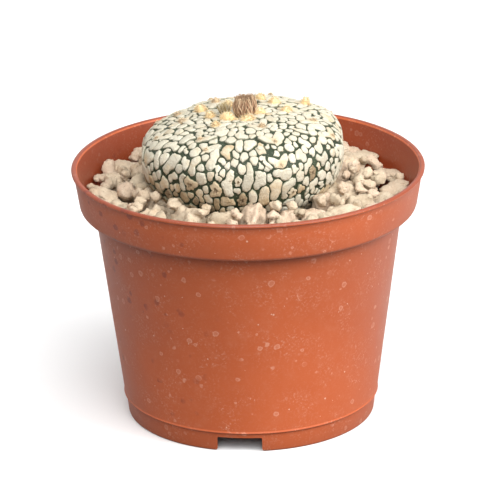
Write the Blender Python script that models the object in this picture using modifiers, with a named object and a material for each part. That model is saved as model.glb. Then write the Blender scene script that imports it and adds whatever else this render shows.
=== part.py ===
"""A round star cactus in a plastic nursery pot, dressed with pumice gravel.

Lengths are in metres and +Z is up. The pot stands on Z = 0 with its axis on the world's Z axis,
and the front of the plant looks along -Y.
"""

import math
import random

import bmesh
import bpy
from mathutils import Matrix, Vector, noise

MM = 0.001
COLLECTION = "potted_round_cactus"
GAP = 0.3 * MM
POT_STEPS = 64
PLANT_STEPS = 48
SOIL_STEPS = 32

# Pot
RIM_RADIUS = 52.5 * MM
POT_HEIGHT = 76.9 * MM
LIP_WIDTH = 1.6 * MM
LIP_DROP = 1.0 * MM
BAND_TOP_RADIUS = 51.7 * MM
BAND_BOTTOM_RADIUS = 50.0 * MM
BAND_BOTTOM = 64.8 * MM
WALL_TOP_RADIUS = 45.8 * MM
WALL_FOOT_RADIUS = 38.1 * MM
WALL = 1.0 * MM
FLOOR_UNDERSIDE = 4.9 * MM
RIDGE_HEIGHT = 6.2 * MM
RIDGE_SWELL = 0.35 * MM
FOOT_RADIUS = 36.9 * MM
NOTCH_WIDTH = 13.3 * MM
NOTCH_TOP = 4.6 * MM
NOTCH_COUNT = 3
NOTCH_TURN = math.radians(-5.6)
DRAIN_DIAMETER = 7.0 * MM
DRAIN_RING_RADIUS = 24.0 * MM
DRAIN_COUNT = 6

# Soil
SOIL_TOP = 62.5 * MM

# Cactus, in its own frame: the origin is at the middle of its widest level
CACTUS_RADIUS = 30.3 * MM
CROWN_HEIGHT = 12.0 * MM
CROWN_POWER = 2.8
BELLY_DEPTH = 22.7 * MM
BELLY_POWER = 1.95
BELLY_END = -17.5 * MM
DIMPLE_DEPTH = 1.4 * MM
DIMPLE_RADIUS = 4.0 * MM
RIB_COUNT = 8
GROOVE_DEPTH = 0.025
CACTUS_CENTRE = Vector((-1.5, 3.0, 80.3)) * MM
CACTUS_LEAN = math.radians(4.3)
CACTUS_PLACE = Matrix.Translation(CACTUS_CENTRE) @ Matrix.Rotation(-CACTUS_LEAN, 4, "Y")
ROOT_OUTLINE = [(14.2 * MM, -21.5 * MM), (9.5 * MM, -25.5 * MM), (6.0 * MM, -30.0 * MM),
                (3.0 * MM, -35.0 * MM), (0.0, -37.5 * MM)]

# Gravel
STONE_SEED = 11
STONE_SPACING = 7.9 * MM
STONE_TARGET = 50
STONE_REACH = 5.9 * MM
STONE_INNER_RADIUS = 27.5 * MM
STONE_OUTER_RADIUS = 44.6 * MM
STONE_FROM_PLANT = 28.5 * MM
STONE_MERGE = 0.5 * MM
GRAVEL_AT_WALL = 70.0 * MM
GRAVEL_AT_PLANT = 74.3 * MM
LEDGE_CLEARANCE = 66.2 * MM

# Stones that stand out: angle from the front (degrees, towards +X), distance from the axis
NOTED_STONES = [(-107, 44.6), (-103, 39.0), (-97, 32.5), (-137, 44.6), (-124, 43.0), (-86, 44.4),
                (-74, 38.2), (-55, 33.0), (129, 43.5), (110, 44.6), (93, 44.6), (109, 36.5),
                (92, 32.8), (68, 35.0), (80, 40.6), (-34, 31.5), (-16, 29.5), (2, 28.5),
                (20, 29.5), (38, 31.5), (52, 35.5)]

# Crown trimmings, in the cactus's own frame
WOOL_RING_RADIUS = 5.0 * MM
WOOL_THICKNESS = 0.95 * MM
WOOL_LIFT = 13.4 * MM
FLOWER_RADIUS = 3.2 * MM
FLOWER_BASE = 11.7 * MM
FLOWER_TOP = 18.0 * MM
BUD_RADIUS = 1.35 * MM
BUD_BASE = 14.75 * MM
BUD_TOP = 17.4 * MM
BUD_PLACE = Vector((-4.9, -0.4, 0.0)) * MM


def clear_scene():
    for scene_object in list(bpy.data.objects):
        bpy.data.objects.remove(scene_object, do_unlink=True)


def make_collection(name):
    collection = bpy.data.collections.new(name)
    bpy.context.scene.collection.children.link(collection)
    return collection


def make_material(name, colour, roughness):
    material = bpy.data.materials.new(name)
    material.use_nodes = True
    shader = material.node_tree.nodes["Principled BSDF"]
    shader.inputs["Base Color"].default_value = (*colour, 1.0)
    shader.inputs["Roughness"].default_value = roughness
    shader.inputs["Metallic"].default_value = 0.0
    return material


def add_mesh_object(name, mesh, collection, material=None):
    new_object = bpy.data.objects.new(name, mesh)
    collection.objects.link(new_object)
    if material is not None:
        mesh.materials.append(material)
    return new_object


def turned_object(name, outline, steps, collection, material=None):
    """Spin an outline of (radius, height) points a full turn about Z."""
    mesh = bpy.data.meshes.new(name)
    points = [(radius, 0.0, height) for radius, height in outline]
    edges = [(i, i + 1) for i in range(len(points) - 1)]
    mesh.from_pydata(points, edges, [])
    turned = add_mesh_object(name, mesh, collection, material)
    screw = turned.modifiers.new("turn", "SCREW")
    screw.axis = "Z"
    screw.steps = steps
    screw.render_steps = steps
    screw.use_merge_vertices = True
    screw.merge_threshold = 0.00002
    screw.use_smooth_shade = True
    return turned


def apply_modifiers(target):
    """Replace an object's mesh with the result of its modifiers."""
    depsgraph = bpy.context.evaluated_depsgraph_get()
    finished = bpy.data.meshes.new_from_object(target.evaluated_get(depsgraph))
    target.modifiers.clear()
    target.data = finished


def hide_cutter(cutter):
    cutter.hide_render = True
    cutter.display_type = "WIRE"


def cut(target, cutter):
    difference = target.modifiers.new("cut " + cutter.name, "BOOLEAN")
    difference.operation = "DIFFERENCE"
    difference.solver = "EXACT"
    difference.object = cutter
    hide_cutter(cutter)


def pot_outline():
    """Up the inside from the middle of the floor, over the lip, down the outside to the base."""
    lip_inner = RIM_RADIUS - LIP_WIDTH
    ledge = BAND_BOTTOM + WALL
    inside = [(0.0, FLOOR_UNDERSIDE + WALL),
              (WALL_FOOT_RADIUS - 1.6 * WALL, FLOOR_UNDERSIDE + WALL),
              (WALL_FOOT_RADIUS - WALL, FLOOR_UNDERSIDE + 1.6 * WALL),
              (WALL_TOP_RADIUS - WALL, ledge - 0.4 * WALL),
              (WALL_TOP_RADIUS - 0.4 * WALL, ledge),
              (BAND_BOTTOM_RADIUS - 1.5 * WALL, ledge),
              (BAND_BOTTOM_RADIUS - WALL, ledge + 0.5 * WALL),
              (lip_inner, POT_HEIGHT - 0.4 * WALL)]
    lip = [(lip_inner + 0.4 * WALL, POT_HEIGHT),
           (RIM_RADIUS - 0.4 * WALL, POT_HEIGHT),
           (RIM_RADIUS, POT_HEIGHT - 0.4 * WALL),
           (RIM_RADIUS - 0.15 * WALL, POT_HEIGHT - LIP_DROP)]
    outside = [(BAND_TOP_RADIUS, POT_HEIGHT - LIP_DROP),
               (BAND_BOTTOM_RADIUS, BAND_BOTTOM + 0.5 * WALL),
               (BAND_BOTTOM_RADIUS - 0.5 * WALL, BAND_BOTTOM),
               (WALL_TOP_RADIUS, BAND_BOTTOM),
               (WALL_FOOT_RADIUS, RIDGE_HEIGHT + RIDGE_SWELL),
               (WALL_FOOT_RADIUS + RIDGE_SWELL, RIDGE_HEIGHT),
               (WALL_FOOT_RADIUS - 0.4 * WALL, RIDGE_HEIGHT - 1.5 * RIDGE_SWELL)]
    foot = [(FOOT_RADIUS, 0.0),
            (FOOT_RADIUS - 1.1 * WALL, 0.0),
            (FOOT_RADIUS - 0.8 * WALL, FLOOR_UNDERSIDE),
            (0.0, FLOOR_UNDERSIDE)]
    return inside + lip + outside + foot


def notch_cutter(number, cutters):
    """A block through the foot, with its upper corners rounded."""
    turn = NOTCH_TURN + number * math.tau / NOTCH_COUNT
    height = NOTCH_TOP + 4.0 * MM
    bpy.ops.mesh.primitive_cube_add(size=1.0)
    block = bpy.context.object
    block.name = "notch_cutter_%d" % (number + 1)
    block.scale = (NOTCH_WIDTH, 8.0 * MM, height)
    block.location = (FOOT_RADIUS * math.sin(turn), -FOOT_RADIUS * math.cos(turn), NOTCH_TOP - height / 2)
    block.rotation_euler = (0.0, 0.0, turn)
    for collection in list(block.users_collection):
        collection.objects.unlink(block)
    cutters.objects.link(block)
    return block


def drain_cutter(number, radius, angle, cutters):
    bpy.ops.mesh.primitive_cylinder_add(vertices=20, radius=DRAIN_DIAMETER / 2, depth=6.0 * MM)
    drill = bpy.context.object
    drill.name = "drain_cutter_%d" % number
    drill.location = (radius * math.cos(angle), radius * math.sin(angle), FLOOR_UNDERSIDE)
    for collection in list(drill.users_collection):
        collection.objects.unlink(drill)
    cutters.objects.link(drill)
    return drill


def add_pot(collection, cutters):
    plastic = make_material("terracotta plastic", (0.51, 0.13, 0.055), 0.45)
    pot = turned_object("pot", pot_outline(), POT_STEPS, collection, plastic)
    for number in range(NOTCH_COUNT):
        cut(pot, notch_cutter(number, cutters))
    cut(pot, drain_cutter(0, 0.0, 0.0, cutters))
    for number in range(DRAIN_COUNT):
        angle = number * math.tau / DRAIN_COUNT
        cut(pot, drain_cutter(number + 1, DRAIN_RING_RADIUS, angle, cutters))


def crown_point(angle):
    """Point of the cactus's outline at an angle above its widest level."""
    radius = CACTUS_RADIUS * math.cos(angle) ** (2.0 / CROWN_POWER)
    height = CROWN_HEIGHT * math.sin(angle) ** (2.0 / CROWN_POWER)
    return radius, height - DIMPLE_DEPTH * math.exp(-(radius / DIMPLE_RADIUS) ** 2)


def belly_radius(height):
    """Radius of the cactus below its widest level, where height is negative."""
    share = min(1.0, -height / BELLY_DEPTH)
    return CACTUS_RADIUS * (1.0 - share ** BELLY_POWER) ** (1.0 / BELLY_POWER)


def cactus_outline():
    crown_steps = 9
    belly_steps = 6
    apex = [(0.0, CROWN_HEIGHT - DIMPLE_DEPTH)]
    rings = [1.5 * MM, 3.0 * MM, 4.5 * MM, 7.0 * MM]
    dimple = [(r, CROWN_HEIGHT - DIMPLE_DEPTH * math.exp(-(r / DIMPLE_RADIUS) ** 2)) for r in rings]
    crown = [crown_point(math.radians(78.0 * (1.0 - i / crown_steps))) for i in range(crown_steps + 1)]
    belly = [(belly_radius(BELLY_END * i / belly_steps), BELLY_END * i / belly_steps)
             for i in range(1, belly_steps + 1)]
    return apex + dimple + crown + belly + ROOT_OUTLINE


def rib_factor(x, y, height):
    """Share of the plain radius that the ribbed skin keeps at a place on the cactus."""
    angle = math.atan2(x, -y)
    groove = (0.5 + 0.5 * math.cos(RIB_COUNT * angle)) ** 2
    fade = min(1.0, max(0.0, (height - BELLY_END) / (12.0 * MM)))
    return 1.0 - GROOVE_DEPTH * groove * fade


def add_cactus(collection):
    skin = make_material("cactus skin", (0.62, 0.62, 0.5), 0.7)
    cactus = turned_object("cactus", cactus_outline(), PLANT_STEPS, collection, skin)
    apply_modifiers(cactus)
    for vertex in cactus.data.vertices:
        factor = rib_factor(vertex.co.x, vertex.co.y, vertex.co.z)
        vertex.co.x *= factor
        vertex.co.y *= factor
    cactus.matrix_world = CACTUS_PLACE


def add_root_pocket_cutter(cutters):
    """The buried part of the cactus, grown by the gap all round."""
    outline = [(0.0, -10.0 * MM)]
    outline.append((belly_radius(-10.0 * MM) + GAP, -10.0 * MM))
    outline.append((belly_radius(-14.0 * MM) + GAP, -14.0 * MM))
    outline.append((belly_radius(BELLY_END) + GAP, BELLY_END))
    outline += [(radius + 1.2 * GAP, height - 0.5 * GAP) for radius, height in ROOT_OUTLINE[:-1]]
    outline.append((0.0, ROOT_OUTLINE[-1][1] - 1.5 * GAP))
    cutter = turned_object("root_pocket_cutter", outline, PLANT_STEPS, cutters)
    cutter.matrix_world = CACTUS_PLACE
    return cutter


def add_soil(collection, cutters):
    earth = make_material("potting mix", (0.06, 0.035, 0.02), 0.95)
    floor = FLOOR_UNDERSIDE + WALL + GAP
    slope = (WALL_TOP_RADIUS - WALL_FOOT_RADIUS) / (BAND_BOTTOM - RIDGE_HEIGHT)
    foot_radius = WALL_FOOT_RADIUS - 1.6 * WALL - GAP
    top_radius = WALL_FOOT_RADIUS - WALL + slope * (SOIL_TOP - RIDGE_HEIGHT) - 1.5 * GAP
    outline = [(0.0, SOIL_TOP),
               (top_radius - WALL, SOIL_TOP),
               (top_radius, SOIL_TOP - 0.5 * WALL),
               (WALL_FOOT_RADIUS - WALL - 1.5 * GAP, floor + 1.2 * WALL),
               (foot_radius, floor),
               (0.0, floor)]
    soil = turned_object("soil", outline, SOIL_STEPS, collection, earth)
    cut(soil, add_root_pocket_cutter(cutters))


def stone_centres():
    """Noted stones first, then seeded darts wherever there is room for one more."""
    dice = random.Random(STONE_SEED)
    plant_foot = Vector((CACTUS_CENTRE.x, CACTUS_CENTRE.y, 0.0))
    centres = []
    for degrees, distance in NOTED_STONES:
        angle = math.radians(degrees)
        centres.append(Vector((math.sin(angle), -math.cos(angle), 0.0)) * distance * MM)
    for _ in range(20000):
        if len(centres) >= STONE_TARGET:
            break
        angle = dice.uniform(-math.pi, math.pi)
        distance = math.sqrt(dice.uniform(STONE_INNER_RADIUS ** 2, STONE_OUTER_RADIUS ** 2))
        dart = Vector((math.sin(angle), -math.cos(angle), 0.0)) * distance
        apart = min((dart - centre).length for centre in centres)
        if apart > STONE_SPACING and (dart - plant_foot).length > STONE_FROM_PLANT:
            centres.append(dart)
    return centres


def gravel_top(distance):
    """Height of the gravel at a distance from the pot's axis: it rises towards the plant."""
    share = (STONE_OUTER_RADIUS - distance) / (STONE_OUTER_RADIUS - STONE_INNER_RADIUS)
    return GRAVEL_AT_WALL + (GRAVEL_AT_PLANT - GRAVEL_AT_WALL) * min(1.0, max(0.0, share))


def cactus_plane(centre, height):
    """Plane touching the side of the cactus that a stone lies against: a point and its normal."""
    local = CACTUS_PLACE.inverted() @ Vector((centre.x, centre.y, height))
    out = Vector((local.x, local.y, 0.0)).normalized()
    step = 0.1 * MM
    level = min(-step, max(BELLY_END, local.z))
    slope = (belly_radius(level + step) - belly_radius(level - step)) / (2.0 * step)
    normal = (out - Vector((0.0, 0.0, slope))).normalized()
    touch = out * belly_radius(level) + Vector((0.0, 0.0, level)) + normal * 1.4 * GAP
    return CACTUS_PLACE @ touch, CACTUS_PLACE.to_3x3() @ normal


def planes_round(centre, floor, top, others):
    """Planes that a stone keeps inside of: midway to each neighbour, the soil or ledge, the cactus."""
    planes = [(Vector((0.0, 0.0, floor)), Vector((0.0, 0.0, 1.0)))]
    for other in others:
        way = (other - centre).normalized()
        planes.append(((centre + other) / 2.0 - way * 0.6 * GAP, -way))
    planes.append(cactus_plane(centre, (floor + top) / 2.0))
    return planes


def settle(point, planes, wall_limit):
    """Move a point inside every plane and inside the pot's wall."""
    for _ in range(12):
        for touch, normal in planes:
            depth = (point - touch).dot(normal)
            if depth < 0.0:
                point = point - normal * depth
        distance = math.hypot(point.x, point.y)
        if distance > wall_limit:
            point = Vector((point.x * wall_limit / distance, point.y * wall_limit / distance, point.z))
    return point


def pebble_points(centre, floor, top, dice):
    """Points of a lumpy pebble: a subdivided cube, rounded, stretched, turned and made uneven."""
    cage = bmesh.new()
    bmesh.ops.create_cube(cage, size=2.0)
    bmesh.ops.subdivide_edges(cage, edges=cage.edges[:], cuts=2, use_grid_fill=True)
    half_height = (top - floor) / 2.0
    middle = Vector((centre.x, centre.y, top - half_height))
    stretch = dice.uniform(0.86, 1.12)
    turn = Matrix.Rotation(dice.uniform(0.0, math.tau), 3, "Z")
    drift = Vector((dice.uniform(-50.0, 50.0), dice.uniform(-50.0, 50.0), 0.0))
    points = []
    for vertex in cage.verts:
        way = vertex.co.normalized()
        boxy = way.lerp(vertex.co, 0.22)
        lump = 1.0 + 0.22 * noise.noise(way * 1.4 + drift)
        across = Vector((boxy.x * STONE_REACH * stretch, boxy.y * STONE_REACH / stretch, 0.0)) * lump
        rise = Vector((0.0, 0.0, boxy.z * half_height * min(1.0, lump)))
        points.append(middle + turn @ across + rise)
    cage.free()
    return points


def wrapped_mesh(name, points):
    """Convex skin over a cloud of points, with its flat places merged into single faces."""
    shape = bmesh.new()
    for point in points:
        shape.verts.new(point)
    bmesh.ops.remove_doubles(shape, verts=shape.verts[:], dist=STONE_MERGE)
    bmesh.ops.convex_hull(shape, input=shape.verts[:])
    loose = [vertex for vertex in shape.verts if not vertex.link_faces]
    bmesh.ops.delete(shape, geom=loose, context="VERTS")
    bmesh.ops.dissolve_limit(shape, angle_limit=math.radians(2.0), verts=shape.verts[:], edges=shape.edges[:])
    mesh = bpy.data.meshes.new(name)
    shape.to_mesh(mesh)
    shape.free()
    return mesh


def add_stones(collection):
    pumice = make_material("pumice gravel", (0.74, 0.6, 0.44), 0.9)
    dice = random.Random(STONE_SEED + 1)
    centres = stone_centres()
    for number, centre in enumerate(centres):
        others = [other for other in centres if other is not centre]
        top = gravel_top(centre.length) + dice.uniform(-1.1, 1.3) * MM
        on_ledge = centre.length > WALL_TOP_RADIUS - 3.5 * WALL
        floor = LEDGE_CLEARANCE if on_ledge else SOIL_TOP + GAP
        wall_limit = BAND_BOTTOM_RADIUS - 1.9 * WALL if on_ledge else WALL_TOP_RADIUS - 2.0 * WALL
        planes = planes_round(centre, floor, top, others)
        points = [settle(point, planes, wall_limit) for point in pebble_points(centre, floor, top, dice)]
        mesh = wrapped_mesh("stone_%02d" % (number + 1), points)
        add_mesh_object(mesh.name, mesh, collection, pumice)


def add_crown_wool(collection):
    """Cushion of wool round the crown, one swelling for each rib's youngest areole."""
    wool = make_material("areole wool", (0.72, 0.52, 0.25), 1.0)
    bpy.ops.mesh.primitive_torus_add(major_radius=WOOL_RING_RADIUS, minor_radius=WOOL_THICKNESS,
                                     major_segments=32, minor_segments=8)
    ring = bpy.context.object
    ring.name = "crown_wool"
    ring.data.materials.append(wool)
    ring.data.shade_smooth()
    for vertex in ring.data.vertices:
        angle = math.atan2(vertex.co.x, -vertex.co.y)
        swell = 1.0 - 0.18 * (0.5 + 0.5 * math.cos(RIB_COUNT * angle))
        tube_centre = Vector((vertex.co.x, vertex.co.y, 0.0)).normalized() * WOOL_RING_RADIUS
        vertex.co = tube_centre + (vertex.co - tube_centre) * swell
    for owner in list(ring.users_collection):
        owner.objects.unlink(ring)
    collection.objects.link(ring)
    ring.matrix_world = CACTUS_PLACE @ Matrix.Translation((0.0, 0.0, WOOL_LIFT))


def withered_outline(radius, base, top):
    """Barrel with a pinched mouth, from the mouth down to the narrow base."""
    height = top - base
    return [(0.0, top - 0.12 * height),
            (0.45 * radius, top - 0.04 * height),
            (0.72 * radius, top),
            (0.9 * radius, top - 0.12 * height),
            (radius, top - 0.45 * height),
            (0.92 * radius, base + 0.22 * height),
            (0.6 * radius, base + 0.04 * height),
            (0.0, base)]


def add_withered(name, radius, base, top, place, steps, material, collection):
    """Dried flower or bud: a turned barrel whose side is puckered into folds."""
    withered = turned_object(name, withered_outline(radius, base, top), steps, collection, material)
    apply_modifiers(withered)
    for vertex in withered.data.vertices:
        angle = math.atan2(vertex.co.x, -vertex.co.y)
        pucker = 1.0 - 0.07 * (0.5 + 0.5 * math.cos(steps / 4 * angle))
        vertex.co.x *= pucker
        vertex.co.y *= pucker
    withered.matrix_world = CACTUS_PLACE @ Matrix.Translation(place)


def add_crown_trimmings(collection):
    add_crown_wool(collection)
    brown = make_material("dried flower", (0.2, 0.11, 0.05), 0.95)
    olive = make_material("dried bud", (0.32, 0.24, 0.12), 0.95)
    add_withered("dried_flower", FLOWER_RADIUS, FLOWER_BASE, FLOWER_TOP, Vector(), 24, brown, collection)
    add_withered("dried_bud", BUD_RADIUS, BUD_BASE, BUD_TOP, BUD_PLACE, 16, olive, collection)


def main():
    clear_scene()
    collection = make_collection(COLLECTION)
    cutters = make_collection("cutters")
    add_pot(collection, cutters)
    add_soil(collection, cutters)
    add_cactus(collection)
    add_stones(collection)
    add_crown_trimmings(collection)


main()
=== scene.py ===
"""Looks of the potted round cactus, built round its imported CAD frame.

Lengths are in metres, +Z is up and the front of the plant looks along -Y.
"""

import random
from math import asin, atan2, cos, hypot, pi, radians, sin, sqrt, tau

import bpy
import numpy as np
from mathutils import Matrix, Vector, kdtree
from numpy.linalg import norm


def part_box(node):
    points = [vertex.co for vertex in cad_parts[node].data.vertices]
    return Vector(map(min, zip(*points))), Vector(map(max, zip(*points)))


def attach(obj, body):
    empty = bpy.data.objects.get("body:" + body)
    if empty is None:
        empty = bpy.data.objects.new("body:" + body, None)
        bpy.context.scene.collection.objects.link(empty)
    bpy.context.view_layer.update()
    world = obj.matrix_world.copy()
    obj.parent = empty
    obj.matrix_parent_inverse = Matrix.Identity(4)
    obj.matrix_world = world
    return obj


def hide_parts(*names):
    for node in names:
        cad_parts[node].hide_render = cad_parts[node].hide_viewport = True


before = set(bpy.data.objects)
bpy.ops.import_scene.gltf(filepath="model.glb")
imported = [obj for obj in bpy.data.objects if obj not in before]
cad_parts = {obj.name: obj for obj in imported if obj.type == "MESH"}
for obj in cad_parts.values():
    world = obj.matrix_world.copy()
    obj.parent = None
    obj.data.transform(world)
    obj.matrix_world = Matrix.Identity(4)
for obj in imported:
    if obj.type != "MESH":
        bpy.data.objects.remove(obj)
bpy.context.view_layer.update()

MM = 0.001

# Plant, in its own frame: the origin is at the middle of its widest level
PLANT_RADIUS = 30.3 * MM
CROWN_HEIGHT = 11.2 * MM
CROWN_POWER = 2.8
BELLY_DEPTH = 22.7 * MM
BELLY_POWER = 1.95
BELLY_END = 17.5 * MM
DIMPLE_DEPTH = 1.4 * MM
DIMPLE_RADIUS = 4.0 * MM
RIBS = 8
GROOVE_DEPTH = 0.03
GROOVE_FADE = 12.0 * MM
PLANT_LEAN = radians(4.3)
PLANT_TOP_ABOVE_CENTRE = 12.5 * MM
plant_low, plant_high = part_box("cactus")
PLANT_CENTRE = Vector(((plant_low.x + plant_high.x) / 2.0, (plant_low.y + plant_high.y) / 2.0,
                       plant_high.z - PLANT_TOP_ABOVE_CENTRE))
PLANT_PLACE = Matrix.Translation(PLANT_CENTRE) @ Matrix.Rotation(-PLANT_LEAN, 4, "Y")


# ---- pieces

def deselect_all():
    if bpy.context.object and bpy.context.object.mode != "OBJECT":
        bpy.ops.object.mode_set(mode="OBJECT")
    bpy.ops.object.select_all(action="DESELECT")


def make_active(piece):
    deselect_all()
    piece.select_set(True)
    bpy.context.view_layer.objects.active = piece


def modify(piece, kind, **settings):
    modifier = piece.modifiers.new(kind.lower(), kind)
    for key, value in settings.items():
        setattr(modifier, key, value)


def apply_modifiers(piece):
    make_active(piece)
    for modifier in list(piece.modifiers):
        bpy.ops.object.modifier_apply(modifier=modifier.name)


def start_outline(name, outline):
    """Draw an outline point by point in the XZ plane; the new piece stays in edit mode."""
    deselect_all()
    bpy.ops.mesh.primitive_plane_add(size=MM)
    piece = bpy.context.object
    piece.name = piece.data.name = name
    bpy.ops.object.mode_set(mode="EDIT")
    bpy.ops.mesh.merge(type="CENTER")
    points = [Vector((x, 0.0, z)) for x, z in outline]
    bpy.ops.transform.translate(value=points[0])
    for here, there in zip(points, points[1:]):
        bpy.ops.mesh.extrude_vertices_move(TRANSFORM_OT_translate={"value": there - here})
    bpy.ops.mesh.select_all(action="SELECT")
    return piece


def turned(name, outline, steps):
    """Spin an outline a full turn round Z."""
    piece = start_outline(name, outline)
    bpy.ops.mesh.spin(steps=steps, angle=tau, center=(0, 0, 0), axis=(0, 0, 1))
    bpy.ops.mesh.select_all(action="SELECT")
    bpy.ops.mesh.remove_doubles(threshold=0.01 * MM)
    bpy.ops.mesh.normals_make_consistent(inside=False)
    bpy.ops.object.mode_set(mode="OBJECT")
    return piece


def prism(name, outline, depth):
    """Fill an outline and draw it out along +Y."""
    piece = start_outline(name, outline)
    bpy.ops.mesh.edge_face_add()
    bpy.ops.mesh.extrude_region_move(TRANSFORM_OT_translate={"value": (0.0, depth, 0.0)})
    bpy.ops.mesh.select_all(action="SELECT")
    bpy.ops.mesh.normals_make_consistent(inside=False)
    bpy.ops.object.mode_set(mode="OBJECT")
    return piece


def cut_away(piece, cutter):
    modify(piece, "BOOLEAN", operation="DIFFERENCE", solver="EXACT", object=cutter)
    apply_modifiers(piece)
    bpy.data.objects.remove(cutter, do_unlink=True)


def new_object(name, data):
    new = bpy.data.objects.new(name, data)
    bpy.context.scene.collection.objects.link(new)
    return new


def mesh_object(name, sheet):
    """Piece from a sheet: points in the plant's frame, faces, and a tone of three values for each point."""
    points, faces, tones = sheet
    mesh = bpy.data.meshes.new(name)
    mesh.from_pydata([tuple(point) for point in to_world(points)], [], faces)
    attribute = mesh.attributes.new("tone", "FLOAT_VECTOR", "POINT")
    attribute.data.foreach_set("vector", np.asarray(tones, np.float32).ravel())
    mesh.shade_smooth()
    return new_object(name, mesh)


def ring_faces(start, rings, sides, flipped=False):
    """Faces between rings of points, the first of which is point number start."""
    faces = []
    for first in range(start, start + (rings - 1) * sides, sides):
        for k in range(sides):
            a, b = first + k, first + (k + 1) % sides
            if flipped:
                a, b = b, a
            faces.append((a, b, b + sides, a + sides))
    return faces


def finish_piece(piece, material, slot, *nodes):
    """Give a piece its finish and tie it to the frame."""
    piece.data.materials.clear()
    piece.data.materials.append(material)
    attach(piece, "root")
    if nodes:
        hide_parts(*nodes)


# ---- materials

def new_finish(name, roughness, specular=0.5):
    """Material with its shader and the piece's object coordinates."""
    material = bpy.data.materials.new(name)
    material.use_nodes = True
    shader = material.node_tree.nodes["Principled BSDF"]
    shader.inputs["Roughness"].default_value = roughness
    shader.inputs["Specular IOR Level"].default_value = specular
    place = material.node_tree.nodes.new("ShaderNodeTexCoord").outputs["Object"]
    return material, shader, place


def feed(shader, colour, normal=None, roughness=None):
    for name, socket in (("Base Color", colour), ("Normal", normal), ("Roughness", roughness)):
        if socket:
            shader.id_data.links.new(socket, shader.inputs[name])


def is_socket(value):
    return isinstance(value, bpy.types.NodeSocket)


def node(kind, inputs, tree=None, **settings):
    """Add a node beside the sockets that feed it; each input is given a value or such a socket."""
    tree = tree or next(value for value in inputs.values() if is_socket(value)).id_data
    new = tree.nodes.new("ShaderNode" + kind)
    for key, value in settings.items():
        setattr(new, key, value)
    for key, value in inputs.items():
        if is_socket(value):
            tree.links.new(value, new.inputs[key])
        else:
            new.inputs[key].default_value = value
    return new


def noise_at(place, size, detail=3.0, roughness=0.55, distortion=0.0):
    """Noise whose blotches are about the given size in metres."""
    return node("TexNoise", {"Vector": place, "Scale": 1.0 / size, "Detail": detail,
                             "Roughness": roughness, "Distortion": distortion}).outputs["Fac"]


def cells_at(place, size):
    """Scattered cells: the distance from the middle of each, and one of three chances that each has."""
    cells = node("TexVoronoi", {"Vector": place, "Scale": 1.0 / size}).outputs
    chances = node("SeparateColor", {"Color": cells["Color"]}).outputs
    return cells["Distance"], chances


def ramp(value, low, high, out_low=0.0, out_high=1.0):
    """Smooth step of a value from one range to another."""
    return node("MapRange", {"Value": value, "From Min": low, "From Max": high, "To Min": out_low,
                             "To Max": out_high}, interpolation_type="SMOOTHSTEP").outputs["Result"]


def maths(operation, *values):
    return node("Math", dict(enumerate(values)), operation=operation).outputs["Value"]


def times(first, second):
    return maths("MULTIPLY", first, second)


def mix(share, first, second):
    """Mix of two colours, each a socket or a linear (red, green, blue)."""
    first, second = (value if is_socket(value) else (*value, 1.0) for value in (first, second))
    return node("Mix", {"Factor": share, 6: first, 7: second}, data_type="RGBA").outputs[2]


def stretched(place, share):
    """Coordinates that draw a pattern out along Z; the smaller the share, the longer it is."""
    return node("Mapping", {"Vector": place, "Scale": (1.0, 1.0, share)}).outputs["Vector"]


def tones_at(place):
    """The three values of the tone that a mesh_object carries."""
    tone = node("Attribute", {}, place.id_data, attribute_name="tone").outputs["Vector"]
    return node("SeparateXYZ", {"Vector": tone}).outputs.values()


def bump(height, distance, strength, below=None):
    inputs = {"Height": height, "Distance": distance, "Strength": strength}
    if below:
        inputs["Normal"] = below
    return node("Bump", inputs).outputs["Normal"]


# ---- pot

POT_STEPS = 192
# Radius and height in millimetres, from the middle of the floor's top, up the inside, over the lip and down
POT_OUTLINE = [
    (0.0, 5.9), (35.9, 5.9), (36.7, 6.2), (37.15, 6.9), (44.65, 64.6), (45.0, 65.4), (45.6, 65.8),
    (48.2, 65.8), (48.8, 66.1), (49.1, 66.8), (50.75, 76.2),
    # lip
    (51.0, 76.7), (51.4, 76.9), (51.9, 76.9), (52.3, 76.75), (52.5, 76.45), (52.45, 76.1), (52.2, 75.9),
    (51.85, 75.75), (51.68, 75.4),
    # band
    (51.35, 72.9), (50.25, 66.0), (50.0, 65.3), (49.55, 64.85), (48.9, 64.75), (46.6, 64.75), (46.0, 64.5),
    (45.72, 63.8),
    # wall and the ridge at its bottom
    (38.1, 6.9), (38.12, 6.6), (38.24, 6.42), (38.26, 6.25), (38.16, 6.08), (37.9, 5.95), (37.62, 5.75),
    # foot
    (36.98, 0.6), (36.85, 0.25), (36.6, 0.05), (36.3, 0.0), (36.0, 0.1), (35.8, 0.45), (36.05, 4.5),
    (35.8, 4.9), (0.0, 4.9)]
NOTCH_TURN = -5.6
NOTCH_REACH = 40.5 * MM
HOLE_RING = 24.0 * MM
HOLE_RADIUS = 3.5 * MM
SHARPEST_SMOOTHED = radians(38.0)
# Painted shade on the pot's inside and on the top of its lip: how dark it is, and the part of the pot that
# has it
INNER_PAINTED_SHADE = 0.6
INNER_BOTTOM = 7.0 * MM
INNER_RADIUS = 50.6 * MM
LIP_TOP = 76.5 * MM


def notch_cutter(turn):
    """Block that opens a drainage notch: its top corners are eased and its feet flare out."""
    half, top, ease, flare = 6.65 * MM, 4.6 * MM, 0.5 * MM, 0.9 * MM
    quarter = [i * pi / 8.0 for i in range(5)]
    side = [(half + 3.0 * flare, -2.0 * MM), (half + 3.0 * flare, 0.0)]
    side += [(half + flare - flare * sin(a), flare - flare * cos(a)) for a in quarter]
    side += [(half - ease + ease * cos(a), top - ease + ease * sin(a)) for a in quarter]
    cutter = prism("notch cutter", side + [(-x, z) for x, z in reversed(side)], 8.0 * MM)
    cutter.location = (NOTCH_REACH * sin(turn), -NOTCH_REACH * cos(turn), 0.0)
    cutter.rotation_euler = (0.0, 0.0, turn)
    return cutter


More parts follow.
